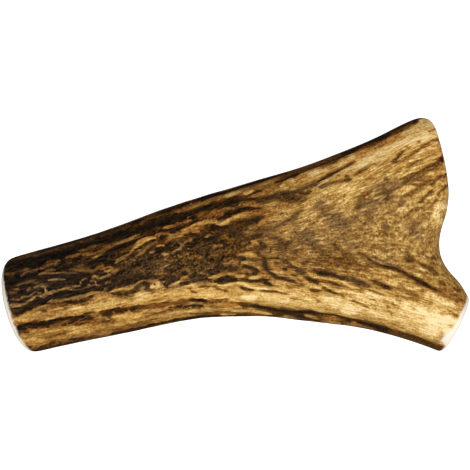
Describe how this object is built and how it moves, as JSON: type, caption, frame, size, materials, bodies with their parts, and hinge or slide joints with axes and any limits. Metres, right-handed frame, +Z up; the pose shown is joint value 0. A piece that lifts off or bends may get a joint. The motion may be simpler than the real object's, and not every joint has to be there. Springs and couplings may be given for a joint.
{
  "type": "deer antler",
  "caption": "Sawn piece of shed deer antler: a ribbed round beam that flares into a flat palm, with its tines cut off short at the fork",
  "frame": {"origin": "centre of the footprint, on the surface that the antler lies on", "axes": "+X from the sawn end of the beam to the fork, +Y from the lower tine to the upper tine, +Z up"},
  "size_m": [0.1638, 0.0832, 0.0322],
  "materials": {
    "antler": "dull polish on grown bone, stained dark in the grooves"
  },
  "bodies": {
    "root": {"antler": "antler"}
  },
  "joints": []
}
